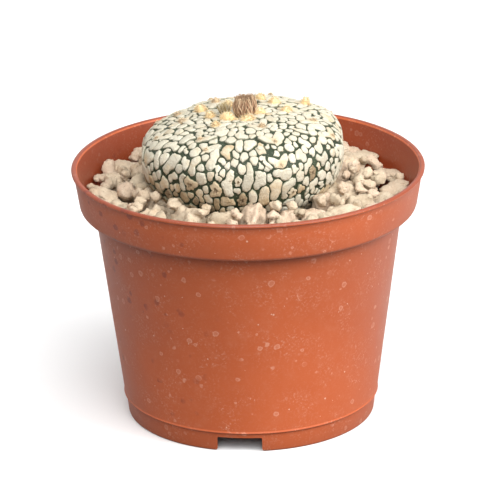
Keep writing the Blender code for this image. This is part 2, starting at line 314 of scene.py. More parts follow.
def pot_finish(name, depth):
    """Dusty semi-matte plastic with dried water marks and specks; depth darkens it with painted shade, used
    for the pot's inside and the top of its lip.
    """
    material, shader, place = new_finish(name, 0.45)
    clouds = noise_at(place, 30.0 * MM, 4.0)
    streaks = noise_at(stretched(place, 0.06), 3.0 * MM, 4.0)
    colour = mix(ramp(clouds, 0.35, 0.68), (0.49, 0.098, 0.026), (0.53, 0.112, 0.034))
    colour = mix(ramp(streaks, 0.5, 0.8, 0.0, 0.2), colour, (0.55, 0.14, 0.06))

    # Dark wet-looking blots, on the left only
    wobble = times(noise_at(place, 1.1 * MM, 3.0), 0.3)
    away, chance = cells_at(place, 3.8 * MM)
    groups = times(ramp(noise_at(place, 13.0 * MM), 0.46, 0.58), ramp(chance["Red"], 0.4, 0.48))
    left = ramp(node("SeparateXYZ", {"Vector": place}).outputs["X"], -4.0 * MM, -26.0 * MM)
    blots = times(ramp(maths("ADD", away, wobble), 0.5, 0.36), times(groups, left))
    colour = mix(times(blots, 0.75), colour, (0.26, 0.045, 0.02))

    # Dried drops: a pale rim round a fainter disc
    away, chance = cells_at(place, 3.4 * MM)
    edge = maths("SUBTRACT", maths("ADD", away, wobble), ramp(chance["Green"], 0.35, 1.0, 0.0, 0.22))
    rim = times(ramp(edge, 0.1, 0.17), ramp(edge, 0.25, 0.18))
    drops = times(maths("ADD", rim, ramp(edge, 0.2, 0.1, 0.0, 0.45)),
                  ramp(noise_at(place, 11.0 * MM), 0.42, 0.55))
    colour = mix(times(drops, 0.5), colour, (0.78, 0.38, 0.26))

    # Pale specks in groups
    away, chance = cells_at(place, 1.7 * MM)
    size = times(ramp(chance["Green"], 0.45, 1.0), ramp(noise_at(place, 7.0 * MM), 0.46, 0.66, 0.02, 0.2))
    specks = maths("LESS_THAN", away, size)
    colour = mix(times(specks, 0.62), colour, (0.86, 0.60, 0.46))

    # A film of lime and a little dust
    film = times(ramp(noise_at(place, 0.7 * MM, 3.0, 0.7), 0.5, 0.72),
                 ramp(noise_at(place, 9.0 * MM, 4.0, 0.6), 0.42, 0.68, 0.08, 0.55))
    colour = mix(film, colour, (0.70, 0.36, 0.25))
    dust = times(ramp(noise_at(place, 5.0 * MM, 6.0, 0.7), 0.45, 0.85, 0.0, 0.22),
                 ramp(noise_at(place, 1.2 * MM), 0.35, 0.7, 0.4, 1.0))
    colour = mix(dust, colour, (0.64, 0.30, 0.20))
    # Painted shade: depth darkens the plastic towards a deep red-brown
    colour = mix(depth, colour, (0.09, 0.004, 0.0))

    skin = bump(noise_at(place, 0.5 * MM, 2.0), 0.02 * MM, 0.5)
    waves = bump(noise_at(stretched(place, 0.3), 18.0 * MM), 0.25 * MM, 0.35, skin)
    feed(shader, colour, bump(specks, 0.06 * MM, 0.6, waves),
         maths("ADD", ramp(clouds, 0.3, 0.7, 0.36, 0.5), times(dust, 0.5)))
    return material


def make_pot():
    pot = turned("nursery_pot", [(radius * MM, height * MM) for radius, height in POT_OUTLINE], POT_STEPS)
    for number in range(3):
        cut_away(pot, notch_cutter(radians(NOTCH_TURN + 120.0 * number)))
    ring = [i * tau / 6.0 for i in range(6)]
    for x, y in [(0.0, 0.0)] + [(HOLE_RING * cos(a), HOLE_RING * sin(a)) for a in ring]:
        bpy.ops.mesh.primitive_cylinder_add(vertices=48, radius=HOLE_RADIUS, depth=6.0 * MM,
                                            location=(x, y, 5.4 * MM))
        cut_away(pot, bpy.context.object)
    make_active(pot)
    bpy.ops.object.shade_smooth_by_angle(angle=SHARPEST_SMOOTHED)
    finish_piece(pot, pot_finish("dusty terracotta plastic", 0.0), "pot_plastic", "pot")
    # The same plastic darkened with painted shade, for the faces inside the pot and on the top of its lip
    pot.data.materials.append(pot_finish("inner plastic with painted shade", INNER_PAINTED_SHADE))
    for face in pot.data.polygons:
        outward, height = Vector((face.center.x, face.center.y, 0.0)), face.center.z
        inner = height > INNER_BOTTOM and outward.length < INNER_RADIUS and face.normal.dot(outward) < 0.0
        face.material_index = int(inner or height > LIP_TOP)


# ---- potting mix

def soil_finish():
    """Dark damp crumbs with a few flakes of bark."""
    material, shader, place = new_finish("dark potting mix", 0.95)
    away, chance = cells_at(place, 1.1 * MM)
    clouds = ramp(noise_at(place, 3.0 * MM, 5.0), 0.35, 0.7)
    colour = mix(clouds, (0.018, 0.011, 0.007), (0.075, 0.045, 0.027))
    colour = mix(times(ramp(chance["Blue"], 0.8, 0.85), 0.6), colour, (0.19, 0.12, 0.07))
    feed(shader, colour, bump(away, 0.5 * MM, 0.9))
    return material


# ---- gravel

# Each kind of stone is one or more rough-cut lumps: (x, y, z) of the middle, its half-lengths and its cuts
STONE_KINDS = {
    "cobble": [((0.0, 0.0, 0.0), (0.95, 0.85, 0.8), 8)],
    "block": [((0.0, 0.0, 0.0), (1.0, 0.8, 0.75), 13)],
    "teardrop": [((-0.22, 0.0, 0.0), (0.7, 0.6, 0.55), 9), ((0.3, 0.0, 0.0), (0.65, 0.4, 0.36), 8)],
    "knuckle": [((-0.4, 0.0, 0.0), (0.56, 0.5, 0.48), 8), ((0.36, 0.06, 0.05), (0.6, 0.52, 0.5), 9)],
    "knobbly": [((-0.35, -0.1, 0.0), (0.6, 0.5, 0.45), 9), ((0.35, 0.1, 0.0), (0.55, 0.5, 0.45), 9),
                ((0.1, -0.3, 0.15), (0.4, 0.36, 0.4), 7)],
    "slab": [((-0.2, 0.0, 0.0), (0.78, 0.66, 0.5), 11), ((0.3, 0.05, 0.03), (0.66, 0.55, 0.44), 10)],
    "wedge": [((-0.1, -0.05, 0.0), (0.85, 0.6, 0.55), 14), ((0.25, 0.15, 0.1), (0.55, 0.5, 0.42), 10)],
    "crumb": [((-0.15, 0.05, 0.05), (0.7, 0.58, 0.55), 12), ((0.3, 0.05, -0.1), (0.5, 0.5, 0.45), 10)],
}
VARIANTS = 3
STONE_RADIUS = 5.0 * MM
FINE_GRAIN = 0.5 * MM
COARSE_GRAIN = 0.85 * MM
# Dents in a stone's skin: name, size, how deep, kind of noise and its depth
STONE_DENTS = [("broad dents", 2.8 * MM, 1.9 * MM, "ORIGINAL_PERLIN", 2),
               ("small dents", 1.1 * MM, 1.5 * MM, "ORIGINAL_PERLIN", 2),
               ("pits", 0.8 * MM, 0.5 * MM, "VORONOI_F1", 1)]
# The pot's inside where stones touch it: the step, and radii of the wall at three heights
STEP_INNER = 44.4 * MM
STEP_TOP = 65.95 * MM
WALL_HEIGHTS = [66.0 * MM, 67.0 * MM, 76.0 * MM]
WALL_RADII = [48.3 * MM, 48.8 * MM, 50.4 * MM]
SOIL_TOP = 62.5 * MM
SMALL_STONES = 110
SMALL_RADII = (1.5, 3.1)
POUR_TRIES = 9000
# Distances from the pot's axis between which small stones are poured, and where the step holds them up
POUR_INNER, POUR_OUTER, POUR_STEP = 24.0 * MM, 49.2 * MM, 44.0 * MM
# Stones aren't round, so they settle nearer to each other than balls would
SETTLED = 0.93
# The gravel's top rises towards the plant: height at the wall, how much it rises, and where
LEVEL_AT_WALL, LEVEL_RISE = 70.6, 4.2
RISE_START, RISE_WIDTH = 46.0 * MM, 18.0 * MM
LEVEL_SLACK = 0.8 * MM
# Stones that stand out: kind, turn about Z and tip in degrees, share of the box that they fill, tone
NOTED_STONES = {
    "stone_01": ("knobbly", 80.0, 60.0, 0.86, 0.45),
    "stone_02": ("cobble", 30.0, 10.0, 1.0, 0.5),
    "stone_03": ("teardrop", 95.0, -72.0, 0.95, 0.2),
    "stone_04": ("slab", 30.0, 8.0, 0.9, 0.7),
    "stone_05": ("slab", -35.0, 5.0, 1.0, 0.45),
    "stone_06": ("wedge", -60.0, 15.0, 0.9, 0.5),
    "stone_07": ("crumb", 20.0, 0.0, 0.95, 0.25),
    "stone_08": ("slab", 35.0, 6.0, 1.05, 0.5),
    "stone_09": ("slab", 20.0, -12.0, 1.02, 0.2),
    "stone_10": ("knuckle", 10.0, 30.0, 0.95, 0.6),
    "stone_12": ("crumb", 60.0, 20.0, 1.0, 0.5),
    "stone_13": ("knobbly", 10.0, 35.0, 1.0, 0.62),
}


def cut_lump(middle, half, cuts, dice):
    """A ball shaped to its half-lengths, with flat faces sliced off all round."""
    deselect_all()
    bpy.ops.mesh.primitive_ico_sphere_add(subdivisions=3, radius=STONE_RADIUS)
    bpy.ops.object.mode_set(mode="EDIT")
    for _ in range(cuts):
        way = Vector([dice.gauss(0.0, 1.0) for _ in range(3)]).normalized()
        bpy.ops.mesh.select_all(action="SELECT")
        bpy.ops.mesh.bisect(plane_co=way * STONE_RADIUS * dice.uniform(0.52, 0.82), plane_no=way,
                            use_fill=True, clear_outer=True)
    bpy.ops.object.mode_set(mode="OBJECT")
    lump = bpy.context.object
    lump.data.transform(Matrix.Diagonal((*half, 1.0)))
    lump.data.transform(Matrix.Translation(Vector(middle) * STONE_RADIUS))
    return lump


def mesh_box(mesh):
    corners = np.array([vertex.co for vertex in mesh.vertices])
    return Vector(corners.min(0)), Vector(corners.max(0))


def model_stone(name, lumps, grain, dice, textures):
    """Join the cut lumps, weld them into one stone, ease its edges and roughen its skin."""
    pieces = [cut_lump(middle, half, cuts, dice) for middle, half, cuts in lumps]
    make_active(pieces[0])
    for piece in pieces:
        piece.select_set(True)
    if len(pieces) > 1:
        bpy.ops.object.join()
    stone = bpy.context.object
    stone.name = name
    modify(stone, "REMESH", mode="VOXEL", voxel_size=grain)
    modify(stone, "SMOOTH", factor=0.5, iterations=2)
    for texture, strength in textures:
        modify(stone, "DISPLACE", texture=texture, strength=strength, mid_level=0.5)
    apply_modifiers(stone)
    low, high = mesh_box(stone.data)
    stone.data.transform(Matrix.Translation(-(low + high) / 2.0))
    return stone


def model_stones(grain, dice):
    """Every kind of stone, in a few variants."""
    textures = []
    for name, size, strength, basis, depth in STONE_DENTS:
        texture = bpy.data.textures.new(name, type="CLOUDS")
        texture.noise_scale = size
        texture.noise_basis = basis
        texture.noise_depth = depth
        textures.append((texture, strength))
    return {kind: [model_stone("%s %d" % (kind, i), lumps, grain, dice, textures) for i in range(VARIANTS)]
            for kind, lumps in STONE_KINDS.items()}


def keep_inside_pot(mesh):
    """Press a stone back from the pot's wall and up from the step in it."""
    places = np.empty(len(mesh.vertices) * 3)
    mesh.vertices.foreach_get("co", places)
    places = places.reshape(-1, 3)
    radius = np.hypot(places[:, 0], places[:, 1])
    places[(radius > STEP_INNER) & (places[:, 2] < STEP_TOP), 2] = STEP_TOP
    wall = np.interp(places[:, 2], WALL_HEIGHTS, WALL_RADII)
    places[:, :2] *= np.minimum(1.0, wall / np.maximum(radius, MM))[:, None]
    mesh.vertices.foreach_set("co", places.ravel())


def stone_turn(spin, tip):
    return Matrix.Rotation(radians(spin), 4, "Z") @ Matrix.Rotation(radians(tip), 4, "Y")


def lay_stone(name, model, centre, size, turn, tone):
    """Copy a modelled stone, turn it and fit it to a size and place."""
    stone = new_object(name, model.data.copy())
    stone.data.name = name
    stone.data.transform(turn)
    low, high = mesh_box(stone.data)
    extent = high - low
    fit = Matrix.Diagonal((size.x / extent.x, size.y / extent.y, size.z / extent.z, 1.0))
    stone.data.transform(fit @ Matrix.Translation(-(low + high) / 2.0))
    stone.data.transform(Matrix.Translation(centre))
    keep_inside_pot(stone.data)
    attribute = stone.data.attributes.new("tone", "FLOAT", "POINT")
    attribute.data.foreach_set("value", [tone] * len(stone.data.vertices))
    stone.data.shade_smooth()
    return stone


def pumice_finish():
    """Dry beige pumice: blotched, pitted and dusty, each stone of its own tone, with painted shade darkening
    its pits.
    """
    material, shader, place = new_finish("dry pumice", 0.92, 0.25)
    tone = node("Attribute", {}, place.id_data, attribute_name="tone").outputs["Fac"]
    blotches = noise_at(place, 4.0 * MM, 5.0, 0.6)
    grains = noise_at(place, 0.6 * MM, 4.0, 0.7)
    light = mix(ramp(blotches, 0.35, 0.7), (0.57, 0.455, 0.325), (0.65, 0.54, 0.40))
    rosy = mix(ramp(blotches, 0.35, 0.7), (0.58, 0.44, 0.32), (0.66, 0.53, 0.40))
    dull = mix(ramp(blotches, 0.3, 0.7), (0.46, 0.37, 0.26), (0.58, 0.485, 0.35))
    colour = mix(ramp(tone, 0.55, 0.75), light, rosy)
    colour = mix(ramp(tone, 0.3, 0.15), colour, dull)
    colour = mix(ramp(grains, 0.5, 0.72, 0.0, 0.5), colour, (0.36, 0.26, 0.18))
    away, _ = cells_at(place, 1.3 * MM)
    # Pits: dents in the bump, darkened with painted shade
    pits = ramp(maths("ADD", away, times(grains, 0.25)), 0.32, 0.22, 0.0, 0.6)
    colour = mix(pits, colour, (0.33, 0.23, 0.16))
    colour = mix(ramp(noise_at(place, 7.0 * MM, 4.0), 0.56, 0.72, 0.0, 0.4), colour, (0.50, 0.34, 0.20))
    rough = bump(noise_at(place, 0.8 * MM, 5.0, 0.75), 0.55 * MM, 0.8)
    feed(shader, colour, bump(pits, -0.2 * MM, 0.8, rough))
    return material


def lay_cad_stones(models, material, dice):
    """One modelled stone for every stone of the frame; returns the balls that they fill."""
    balls = []
    kinds = list(STONE_KINDS)
    for name in sorted(node_name for node_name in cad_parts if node_name.startswith("stone_")):
        low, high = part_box(name)
        kind, spin, tip, share, tone = NOTED_STONES.get(name, (
            dice.choice(kinds), dice.uniform(0.0, 360.0), dice.uniform(-35.0, 35.0),
            dice.uniform(0.92, 1.08), dice.random()))
        size = (high - low) * share
        centre = (low + high) / 2.0
        centre.z = high.z - size.z / 2.0
        stone = lay_stone("pebble_" + name[-2:], dice.choice(models[kind]), centre, size,
                          stone_turn(spin, tip), tone)
        finish_piece(stone, material, "pumice", name)
        balls.append((centre, (size.x + size.y + size.z) / 6.0))
    return balls


def plant_radius_at(height):
    """Radius of the plant's flank at a height in the world, seen from its own axis."""
    share = min(1.0, max(0.0, (PLANT_CENTRE.z - height) / BELLY_DEPTH))
    return PLANT_RADIUS * (1.0 - share ** BELLY_POWER) ** (1.0 / BELLY_POWER)


def resting_height(x, y, radius, balls):
    """Height at which a ball dropped at (x, y) comes to rest on the soil or on other balls."""
    height = SOIL_TOP + radius
    for centre, other in balls:
        reach = (other + radius) * SETTLED
        apart = (centre.x - x) ** 2 + (centre.y - y) ** 2
        if apart < reach ** 2:
            height = max(height, centre.z + sqrt(reach ** 2 - apart))
    return height


def gravel_level(distance):
    """Height of the gravel's top at a distance from the pot's axis."""
    share = min(1.0, max(0.0, (RISE_START - distance) / RISE_WIDTH))
    return (LEVEL_AT_WALL + LEVEL_RISE * share) * MM


def pour_small_stones(models, material, balls, dice):
    """Drop smaller stones into the hollows between the big ones."""
    poured = 0
    kinds = list(STONE_KINDS)
    for _ in range(POUR_TRIES):
        if poured == SMALL_STONES:
            break
        radius = dice.uniform(*SMALL_RADII) * MM
        angle = dice.uniform(-pi, pi)
        distance = sqrt(dice.uniform(POUR_INNER ** 2, (POUR_OUTER - radius) ** 2))
        x, y = distance * sin(angle), -distance * cos(angle)
        height = resting_height(x, y, radius, balls)
        if distance > POUR_STEP - radius:
            height = max(height, WALL_HEIGHTS[0] + radius)
        if height + radius > gravel_level(distance) + LEVEL_SLACK:
            continue
        from_plant = hypot(x - PLANT_CENTRE.x, y - PLANT_CENTRE.y)
        if from_plant < plant_radius_at(height + 0.5 * radius) + radius * 1.05:
            continue
        centre = Vector((x, y, height))
        balls.append((centre, radius))
        size = Vector([2.0 * radius * dice.uniform(0.9, 1.2) for _ in range(3)])
        poured += 1
        turn = stone_turn(dice.uniform(0.0, 360.0), dice.uniform(-90.0, 90.0))
        stone = lay_stone("small_pebble_%03d" % poured, dice.choice(models[dice.choice(kinds)]), centre, size,
                          turn, dice.random())
        finish_piece(stone, material, "pumice")


def make_gravel():
    dice = random.Random(5)
    material = pumice_finish()
    large = model_stones(FINE_GRAIN, dice)
    small = model_stones(COARSE_GRAIN, dice)
    balls = lay_cad_stones(large, material, dice)
    pour_small_stones(small, material, balls, dice)
    for models in (large, small):
        for variants in models.values():
            for model in variants:
                bpy.data.objects.remove(model, do_unlink=True)


# ---- plant body

def plant_profile():
    """Radius and height of the plant's outline from the apex down, at even steps along it."""
    angle = np.linspace(pi / 2.0, 0.0, 4000)
    crown_radius = PLANT_RADIUS * np.cos(angle) ** (2.0 / CROWN_POWER)
    crown_height = CROWN_HEIGHT * np.sin(angle) ** (2.0 / CROWN_POWER)
    crown_height -= DIMPLE_DEPTH * np.exp(-(crown_radius / DIMPLE_RADIUS) ** 2)
    drop = np.linspace(0.0, BELLY_END, 1500)[1:]
    belly_radius = PLANT_RADIUS * (1.0 - (drop / BELLY_DEPTH) ** BELLY_POWER) ** (1.0 / BELLY_POWER)
    radius = np.concatenate([crown_radius, belly_radius])
    height = np.concatenate([crown_height, -drop])
    length = np.concatenate([[0.0], np.cumsum(np.hypot(np.diff(radius), np.diff(height)))])
    even = np.arange(0.0, length[-1], 0.1 * MM)
    return even, np.interp(even, length, radius), np.interp(even, length, height)


PROFILE_LENGTH, PROFILE_RADIUS, PROFILE_HEIGHT = plant_profile()


def radius_at(along):
    return np.interp(along, PROFILE_LENGTH, PROFILE_RADIUS)


def groove_pull(angle, height):
    """Share of the radius that is left where the eight grooves draw the skin in; they fade out low down."""
    groove = (0.5 + 0.5 * np.cos(RIBS * angle)) ** 2
    return 1.0 - GROOVE_DEPTH * groove * np.clip((height + BELLY_END) / GROOVE_FADE, 0.0, 1.0)


def on_plant(angle, along):
    """Points of the plant's skin, in its own frame, at angles from the front and lengths from the apex."""
    height = np.interp(along, PROFILE_LENGTH, PROFILE_HEIGHT)
    radius = radius_at(along) * groove_pull(angle, height)
    return np.stack([radius * np.sin(angle), -radius * np.cos(angle), height], -1)


def plant_normal(angle, along):
    """Outward normals of the skin, with the two directions in it: across and down."""
    step = 0.15 * MM
    spread = step / np.maximum(radius_at(along), 0.3 * MM)
    across = on_plant(angle + spread, along) - on_plant(angle - spread, along)
    below = np.minimum(along + step, PROFILE_LENGTH[-1])
    down = on_plant(angle, below) - on_plant(angle, np.maximum(along - step, 0.0))
    across /= norm(across, axis=-1, keepdims=True)
    down -= across * np.sum(across * down, axis=-1, keepdims=True)
    down /= norm(down, axis=-1, keepdims=True)
    return np.cross(down, across), across, down


def nearest_on_plant(points):
    """Angle and length along the outline of the skin nearest to each point."""
    radius = np.hypot(points[:, 0], points[:, 1])
    gap = (radius[:, None] - PROFILE_RADIUS) ** 2 + (points[:, 2, None] - PROFILE_HEIGHT) ** 2
    return np.arctan2(points[:, 0], -points[:, 1]), PROFILE_LENGTH[gap.argmin(1)]


def to_world(points):
    return np.asarray(points) @ np.array(PLANT_PLACE.to_3x3()).T + np.array(PLANT_PLACE.translation)


def skin_finish():
    """Dark green skin with tiny pale dots, a little scarred."""
    material, shader, place = new_finish("dark green skin", 0.5, 0.22)
    clouds = ramp(noise_at(place, 5.0 * MM, 4.0), 0.35, 0.68)
    colour = mix(clouds, (0.021, 0.031, 0.016), (0.044, 0.058, 0.032))
    away, chance = cells_at(place, 0.55 * MM)
    dots = times(ramp(away, 0.3, 0.2), ramp(chance["Red"], 0.55, 0.6))
    colour = mix(times(dots, 0.45), colour, (0.30, 0.32, 0.25))
    corky = ramp(noise_at(place, 3.0 * MM, 5.0), 0.58, 0.72, 0.0, 0.5)
    feed(shader, mix(corky, colour, (0.11, 0.095, 0.055)), bump(noise_at(place, 0.5 * MM), 0.1 * MM, 0.6))
    return material


# Radius and height in millimetres of the plant's buried base and taproot
ROOT_OUTLINE = [(16.2, -19.6), (14.2, -21.5), (11.6, -23.6), (9.5, -25.5), (7.5, -27.8), (6.0, -30.0),
                (4.4, -32.8), (3.0, -35.0), (1.4, -36.8), (0.0, -37.5)]


def make_body():
    """The plant's body, turned from its outline, ribbed, and leant as it grows."""
    outline = [(0.0, CROWN_HEIGHT - DIMPLE_DEPTH)]
    outline += [(float(radius_at(along)), float(np.interp(along, PROFILE_LENGTH, PROFILE_HEIGHT)))
                for along in np.linspace(0.8 * MM, PROFILE_LENGTH[-1], 64)]
    outline += [(radius * MM, height * MM) for radius, height in ROOT_OUTLINE]
    body = turned("cactus_body", outline, 160)
    for vertex in body.data.vertices:
        pull = groove_pull(atan2(vertex.co.x, -vertex.co.y), vertex.co.z)
        vertex.co.x *= pull
        vertex.co.y *= pull
    body.data.transform(PLANT_PLACE)
    body.data.shade_smooth()
    finish_piece(body, skin_finish(), "cactus_skin", "cactus")


# ---- flecks of the skin

FLECK_SPACING = 2.6 * MM
FLECK_ASPECT = 1.28
FLECK_START = 4.4 * MM
FLECK_END = 56.5 * MM
FLECK_REACH = 5.5 * MM
FLECK_TRIES = 16000
HEAVY_TRIES = 1500
UPPER_END = 30.0 * MM
FILLER_TRIES = 14000
FILLER_START = 3.0 * MM
FILLER_ROOM = 0.66 * MM
FILLER_GAP = 0.36 * MM
FILLER_REACH = 1.7 * MM
FILLER_STEP = 0.08 * MM
FILLER_SIDES = 10
CROWN_END = 15.0 * MM
GAP_WIDTH = (0.12 * MM, 0.56 * MM)
MISSING_SHARE = 0.012
LEAST_FLECK = 0.3 * MM
JOIN_CHANCE = 0.4
JOIN_REACH = 3.4 * MM
# Areoles: angle from the front in degrees, length from the apex, and width and height of the wool, in mm
AREOLES = [(26.6, 5.8, 4.6, 1.6), (28.6, 14.0, 2.0, 1.5), (25.9, 23.7, 1.4, 0.8), (23.0, 31.8, 1.0, 0.6),
           (84.8, 6.3, 3.4, 2.3), (91.8, 14.6, 3.4, 1.8), (74.4, 22.8, 2.0, 0.9), (69.0, 30.0, 1.2, 0.7),
           (127.9, 13.6, 3.6, 2.3), (115.5, 21.8, 2.6, 2.7), (113.0, 30.5, 1.2, 0.7),
           (160.0, 8.0, 4.2, 3.3), (154.0, 14.4, 3.0, 2.5), (157.0, 24.0, 1.6, 0.9), (157.0, 31.5, 1.2, 0.7),
           (-158.0, 9.0, 3.2, 2.2), (-153.0, 15.4, 2.4, 2.0), (-157.0, 22.6, 1.6, 0.9),
           (-157.0, 30.0, 1.2, 0.7),
           (-121.2, 13.6, 3.8, 2.3), (-114.0, 20.5, 2.0, 1.1), (-112.5, 27.5, 1.2, 0.7),
           (-90.2, 9.0, 3.2, 2.0), (-90.5, 17.9, 2.2, 1.1), (-76.0, 26.0, 1.3, 0.7), (-69.0, 33.0, 1.0, 0.6),
           (-51.2, 4.9, 4.8, 2.7), (-39.7, 11.2, 2.8, 1.6), (-35.9, 20.3, 1.5, 0.8), (-24.7, 24.6, 1.3, 0.7)]
YOUNG_WOOL = 2.5
VEE_START = 7.0
# Pitted and wrinkled flecks: angle, length from the apex and reach in millimetres
PITTED = [(-2.7, 35.5, 2.3), (-1.4, 41.0, 2.9), (2.0, 47.5, 2.2), (-30.9, 36.1, 3.4), (-15.4, 37.2, 3.4),
          (43.4, 37.1, 3.2), (28.7, 41.0, 2.6), (-50.0, 41.0, 3.0), (-34.0, 45.0, 3.2)]
# Lengths from the apex of those in the grooves at the sides and back
PITTED_STEPS = [33.0, 37.5, 42.5]
# Tall tan pads: angle, length from the apex and length in millimetres
TALL_PADS = [(-17.5, 28.0, 3.4), (-28.6, 30.5, 3.2), (31.0, 29.0, 2.8), (11.0, 41.0, 2.8), (18.0, 39.0, 3.0)]
# Bare green places: angle from the front in degrees, length from the apex and radius in millimetres
BARE_PLACES = [(5.2, 33.0, 0.6), (-6.0, 38.6, 0.8), (17.4, 22.0, 0.7), (23.0, 47.5, 1.0)]
# A fleck's rings, from its foot in the skin inwards: share of its reach, and share of its thickness
SMOOTH_RINGS = [(1.0, -0.3), (0.985, 0.45), (0.91, 0.85), (0.62, 1.0)]
PITTED_RINGS = [(1.0, -0.3), (0.985, 0.5), (0.86, 1.1), (0.62, 0.95), (0.4, 1.35), (0.14, 0.3)]


def fixed_flecks(dice):
    """Flecks in the plant's own order: a V above each areole, tall pads, and pitted flecks in grooves."""
    rows = []
    for degrees, step, _, _ in AREOLES:
        if step > VEE_START:
            angle = radians(degrees)
            rows.append(("vee", angle, step * MM, vee_members(angle, step * MM, dice)))
    for degrees, step, tall in TALL_PADS:
        angle = radians(degrees)
        half = tall * MM / 2.0
        weight = dice.uniform(0.35, 0.55) * MM
        rows.append(("broad", angle, step * MM, [(angle + shift, (step * MM) + side * half, weight)
                                                 for side, shift in ((-1, 0.01), (1, -0.01))]))
    pitted = list(PITTED)
    for groove in range(RIBS):
        degrees = groove * 360.0 / RIBS
        if 50.0 < degrees < 310.0:
            pitted += [(degrees + dice.uniform(-4.0, 4.0), step + dice.uniform(-1.0, 1.0),
                        dice.uniform(2.2, 3.2)) for step in PITTED_STEPS]
    for degrees, step, reach in pitted:
        angle = radians(degrees)
        rows.append(("pitted", angle, step * MM, [(angle, step * MM, (reach - 1.9) * 0.8 * MM)]))
    return rows


def vee_members(angle, along, dice):
    """Seeds of a V-shaped fleck: one at the areole and two or three up each arm."""
    radius = float(radius_at(along))
    size = np.interp(along, [8.0 * MM, 20.0 * MM], [1.0 * MM, 1.55 * MM])
    members = [(angle, along, 0.1 * MM)]
    for side in (-1, 1):
        lean = dice.uniform(0.85, 1.2)
        for step in (1, 2) if dice.random() < 0.35 else (1, 2, 3):
            members.append((angle + side * step * size * lean / radius, along - step * size * 0.78, 0.0))
    return members


def skin_distance(points, centre, across):
    """Distances on the skin, stretched so that flecks come out taller than wide."""
    away = points - centre
    return np.sqrt(np.sum(away ** 2, axis=-1) + (FLECK_ASPECT ** 2 - 1.0) * (away @ across) ** 2)


def scattered(luck, tries):
    """Angles and lengths of darts that fall evenly on the skin."""
    alongs = luck.choice(PROFILE_LENGTH, tries, p=PROFILE_RADIUS / PROFILE_RADIUS.sum())
    return luck.uniform(-pi, pi, tries), alongs


def plain_flecks(taken, luck):
    """Darts thrown over the rest of the skin, kept where no other fleck is too near."""
    angles, alongs = scattered(luck, FLECK_TRIES)
    fine = luck.uniform(0.72, 1.12, FLECK_TRIES)
    heavy = (luck.uniform(size=FLECK_TRIES) < 0.5) * luck.uniform(0.25, 0.75, FLECK_TRIES) * MM
    points = on_plant(angles, alongs)
    across = plant_normal(angles, alongs)[1]
    room = np.interp(alongs, [5.0 * MM, 20.0 * MM], [0.82, 1.0]) * FLECK_SPACING * fine
    places = np.ones((FLECK_TRIES + len(taken), 3))
    weights = np.zeros(FLECK_TRIES + len(taken))
    count = len(taken)
    places[:count] = [place for place, _ in taken]
    weights[:count] = [weight for _, weight in taken]
    kept = []
    for i in np.flatnonzero((alongs > FLECK_START) & (alongs < FLECK_END)):
        weight = heavy[i] if i < HEAVY_TRIES else 0.0
        apart = skin_distance(places[:count], points[i], across[i]) - weights[:count]
        if apart.min() < room[i] + weight:
            continue
        places[count] = points[i]
        weights[count] = weight
        count += 1
        kept.append((angles[i], alongs[i], weight))
    return kept


def joined(plain, luck):
    """Rows of plain flecks; some of them grow together with the nearest one above or below."""
    places = on_plant(*np.array(plain).T[:2])
    free = np.ones(len(plain), bool)
    rows = []
    for i, (angle, along, weight) in enumerate(plain):
        if not free[i]:
            continue
        free[i] = False
        members = [(angle, along, weight)]
        while luck.uniform() < JOIN_CHANCE and len(members) < 3:
            away = places - places[i]
            upright = np.abs(away[:, 2]) + 0.35 * np.hypot(away[:, 0], away[:, 1])
            apart = norm(away, axis=1) * (1.7 - upright / (norm(away, axis=1) + 1e-9))
            apart[~free] = 1.0
            near = int(apart.argmin())
            if apart[near] > JOIN_REACH:
                break
            free[near] = False
            members.append(plain[near])
        rows.append(("plain", angle, along, members))
    return rows


def ripple(points, size, strength):
    """Smooth, repeatable wobble of points in space."""
    waves = np.random.RandomState(3)
    moved = np.zeros_like(points)
    for _ in range(7):
        direction, push = waves.normal(size=(2, 3))
        pitch = size * waves.uniform(0.6, 1.5) * norm(direction)
        phase = waves.uniform(0.0, tau)
        moved += np.sin(points @ direction * tau / pitch + phase)[..., None] * push / norm(push)
    return points + moved * strength / 2.6


def is_bare(place):
    return any(norm(place - on_plant(radians(degrees), along * MM)) < radius * MM
               for degrees, along, radius in BARE_PLACES)


def smoothed(reach, share):
    """Each reach mixed with its two neighbours, which each count for a share."""
    return (1.0 - 2.0 * share) * reach + share * (np.roll(reach, 1) + np.roll(reach, -1))


def even_turns(sides):
    return np.arange(sides) * tau / sides


def fleck_reach(centre, across, down, turn, members, others, insets):
    """How far a fleck reaches from its centre in each direction before it meets its neighbours."""
    steps = np.linspace(0.03 * MM, FLECK_REACH, 70)
    way = np.cos(turn)[:, None] * across + np.sin(turn)[:, None] * down
    samples = ripple(centre + way[:, None, :] * steps[None, :, None], 2.0 * MM, 0.42 * MM)
    own, rest = (np.min([skin_distance(samples, point, across) - weight for point, weight in seeds], axis=0)
                 for seeds in (members, others))
    inside = ((rest - own) / 2.0 > insets[:, None]) & (own < 3.0 * MM)
    last = np.where(inside.all(1), len(steps) - 1, np.maximum((~inside).argmax(1) - 1, 0))
    return smoothed(steps[last], 0.12)


def fleck_insets(turn, along, dice):
    """Half-widths of the gaps round a fleck; they narrow and widen, and are thin on the crown."""
    low, high = GAP_WIDTH
    crown = np.interp(along, [6.0 * MM, CROWN_END, 26.0 * MM], [0.35, 0.55, 1.0])
    base = dice.uniform(0.25, 0.6)
    wave = sum(dice.uniform(0.05, 0.2) * np.sin(k * turn + dice.uniform(0.0, tau)) for k in (1, 2, 3, 5))
    return (low + (high - low) * np.clip(base + wave, 0.0, 1.0)) * crown / 2.0 * 1.25


